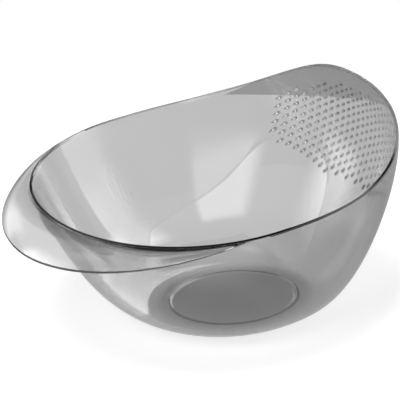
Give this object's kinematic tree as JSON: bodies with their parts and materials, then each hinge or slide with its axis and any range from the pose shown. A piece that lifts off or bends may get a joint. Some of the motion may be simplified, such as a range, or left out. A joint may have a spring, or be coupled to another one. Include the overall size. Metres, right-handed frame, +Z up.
{
  "type": "rice washing bowl",
  "caption": "Clear grey oval washing bowl with a high perforated pouring hood at one end, a folded grip lip at the other and a flat stepped foot.",
  "frame": {"origin": "centre of the foot's flat underside, on the table", "axes": "+X towards the perforated hood, along the bowl's length; +Y across it; +Z up"},
  "size_m": [0.293, 0.2302, 0.1537],
  "materials": {
    "smoky_clear_plastic": "glossy, clear, lightly smoked grey"
  },
  "bodies": {
    "root": {"bowl": "smoky_clear_plastic"}
  },
  "joints": []
}
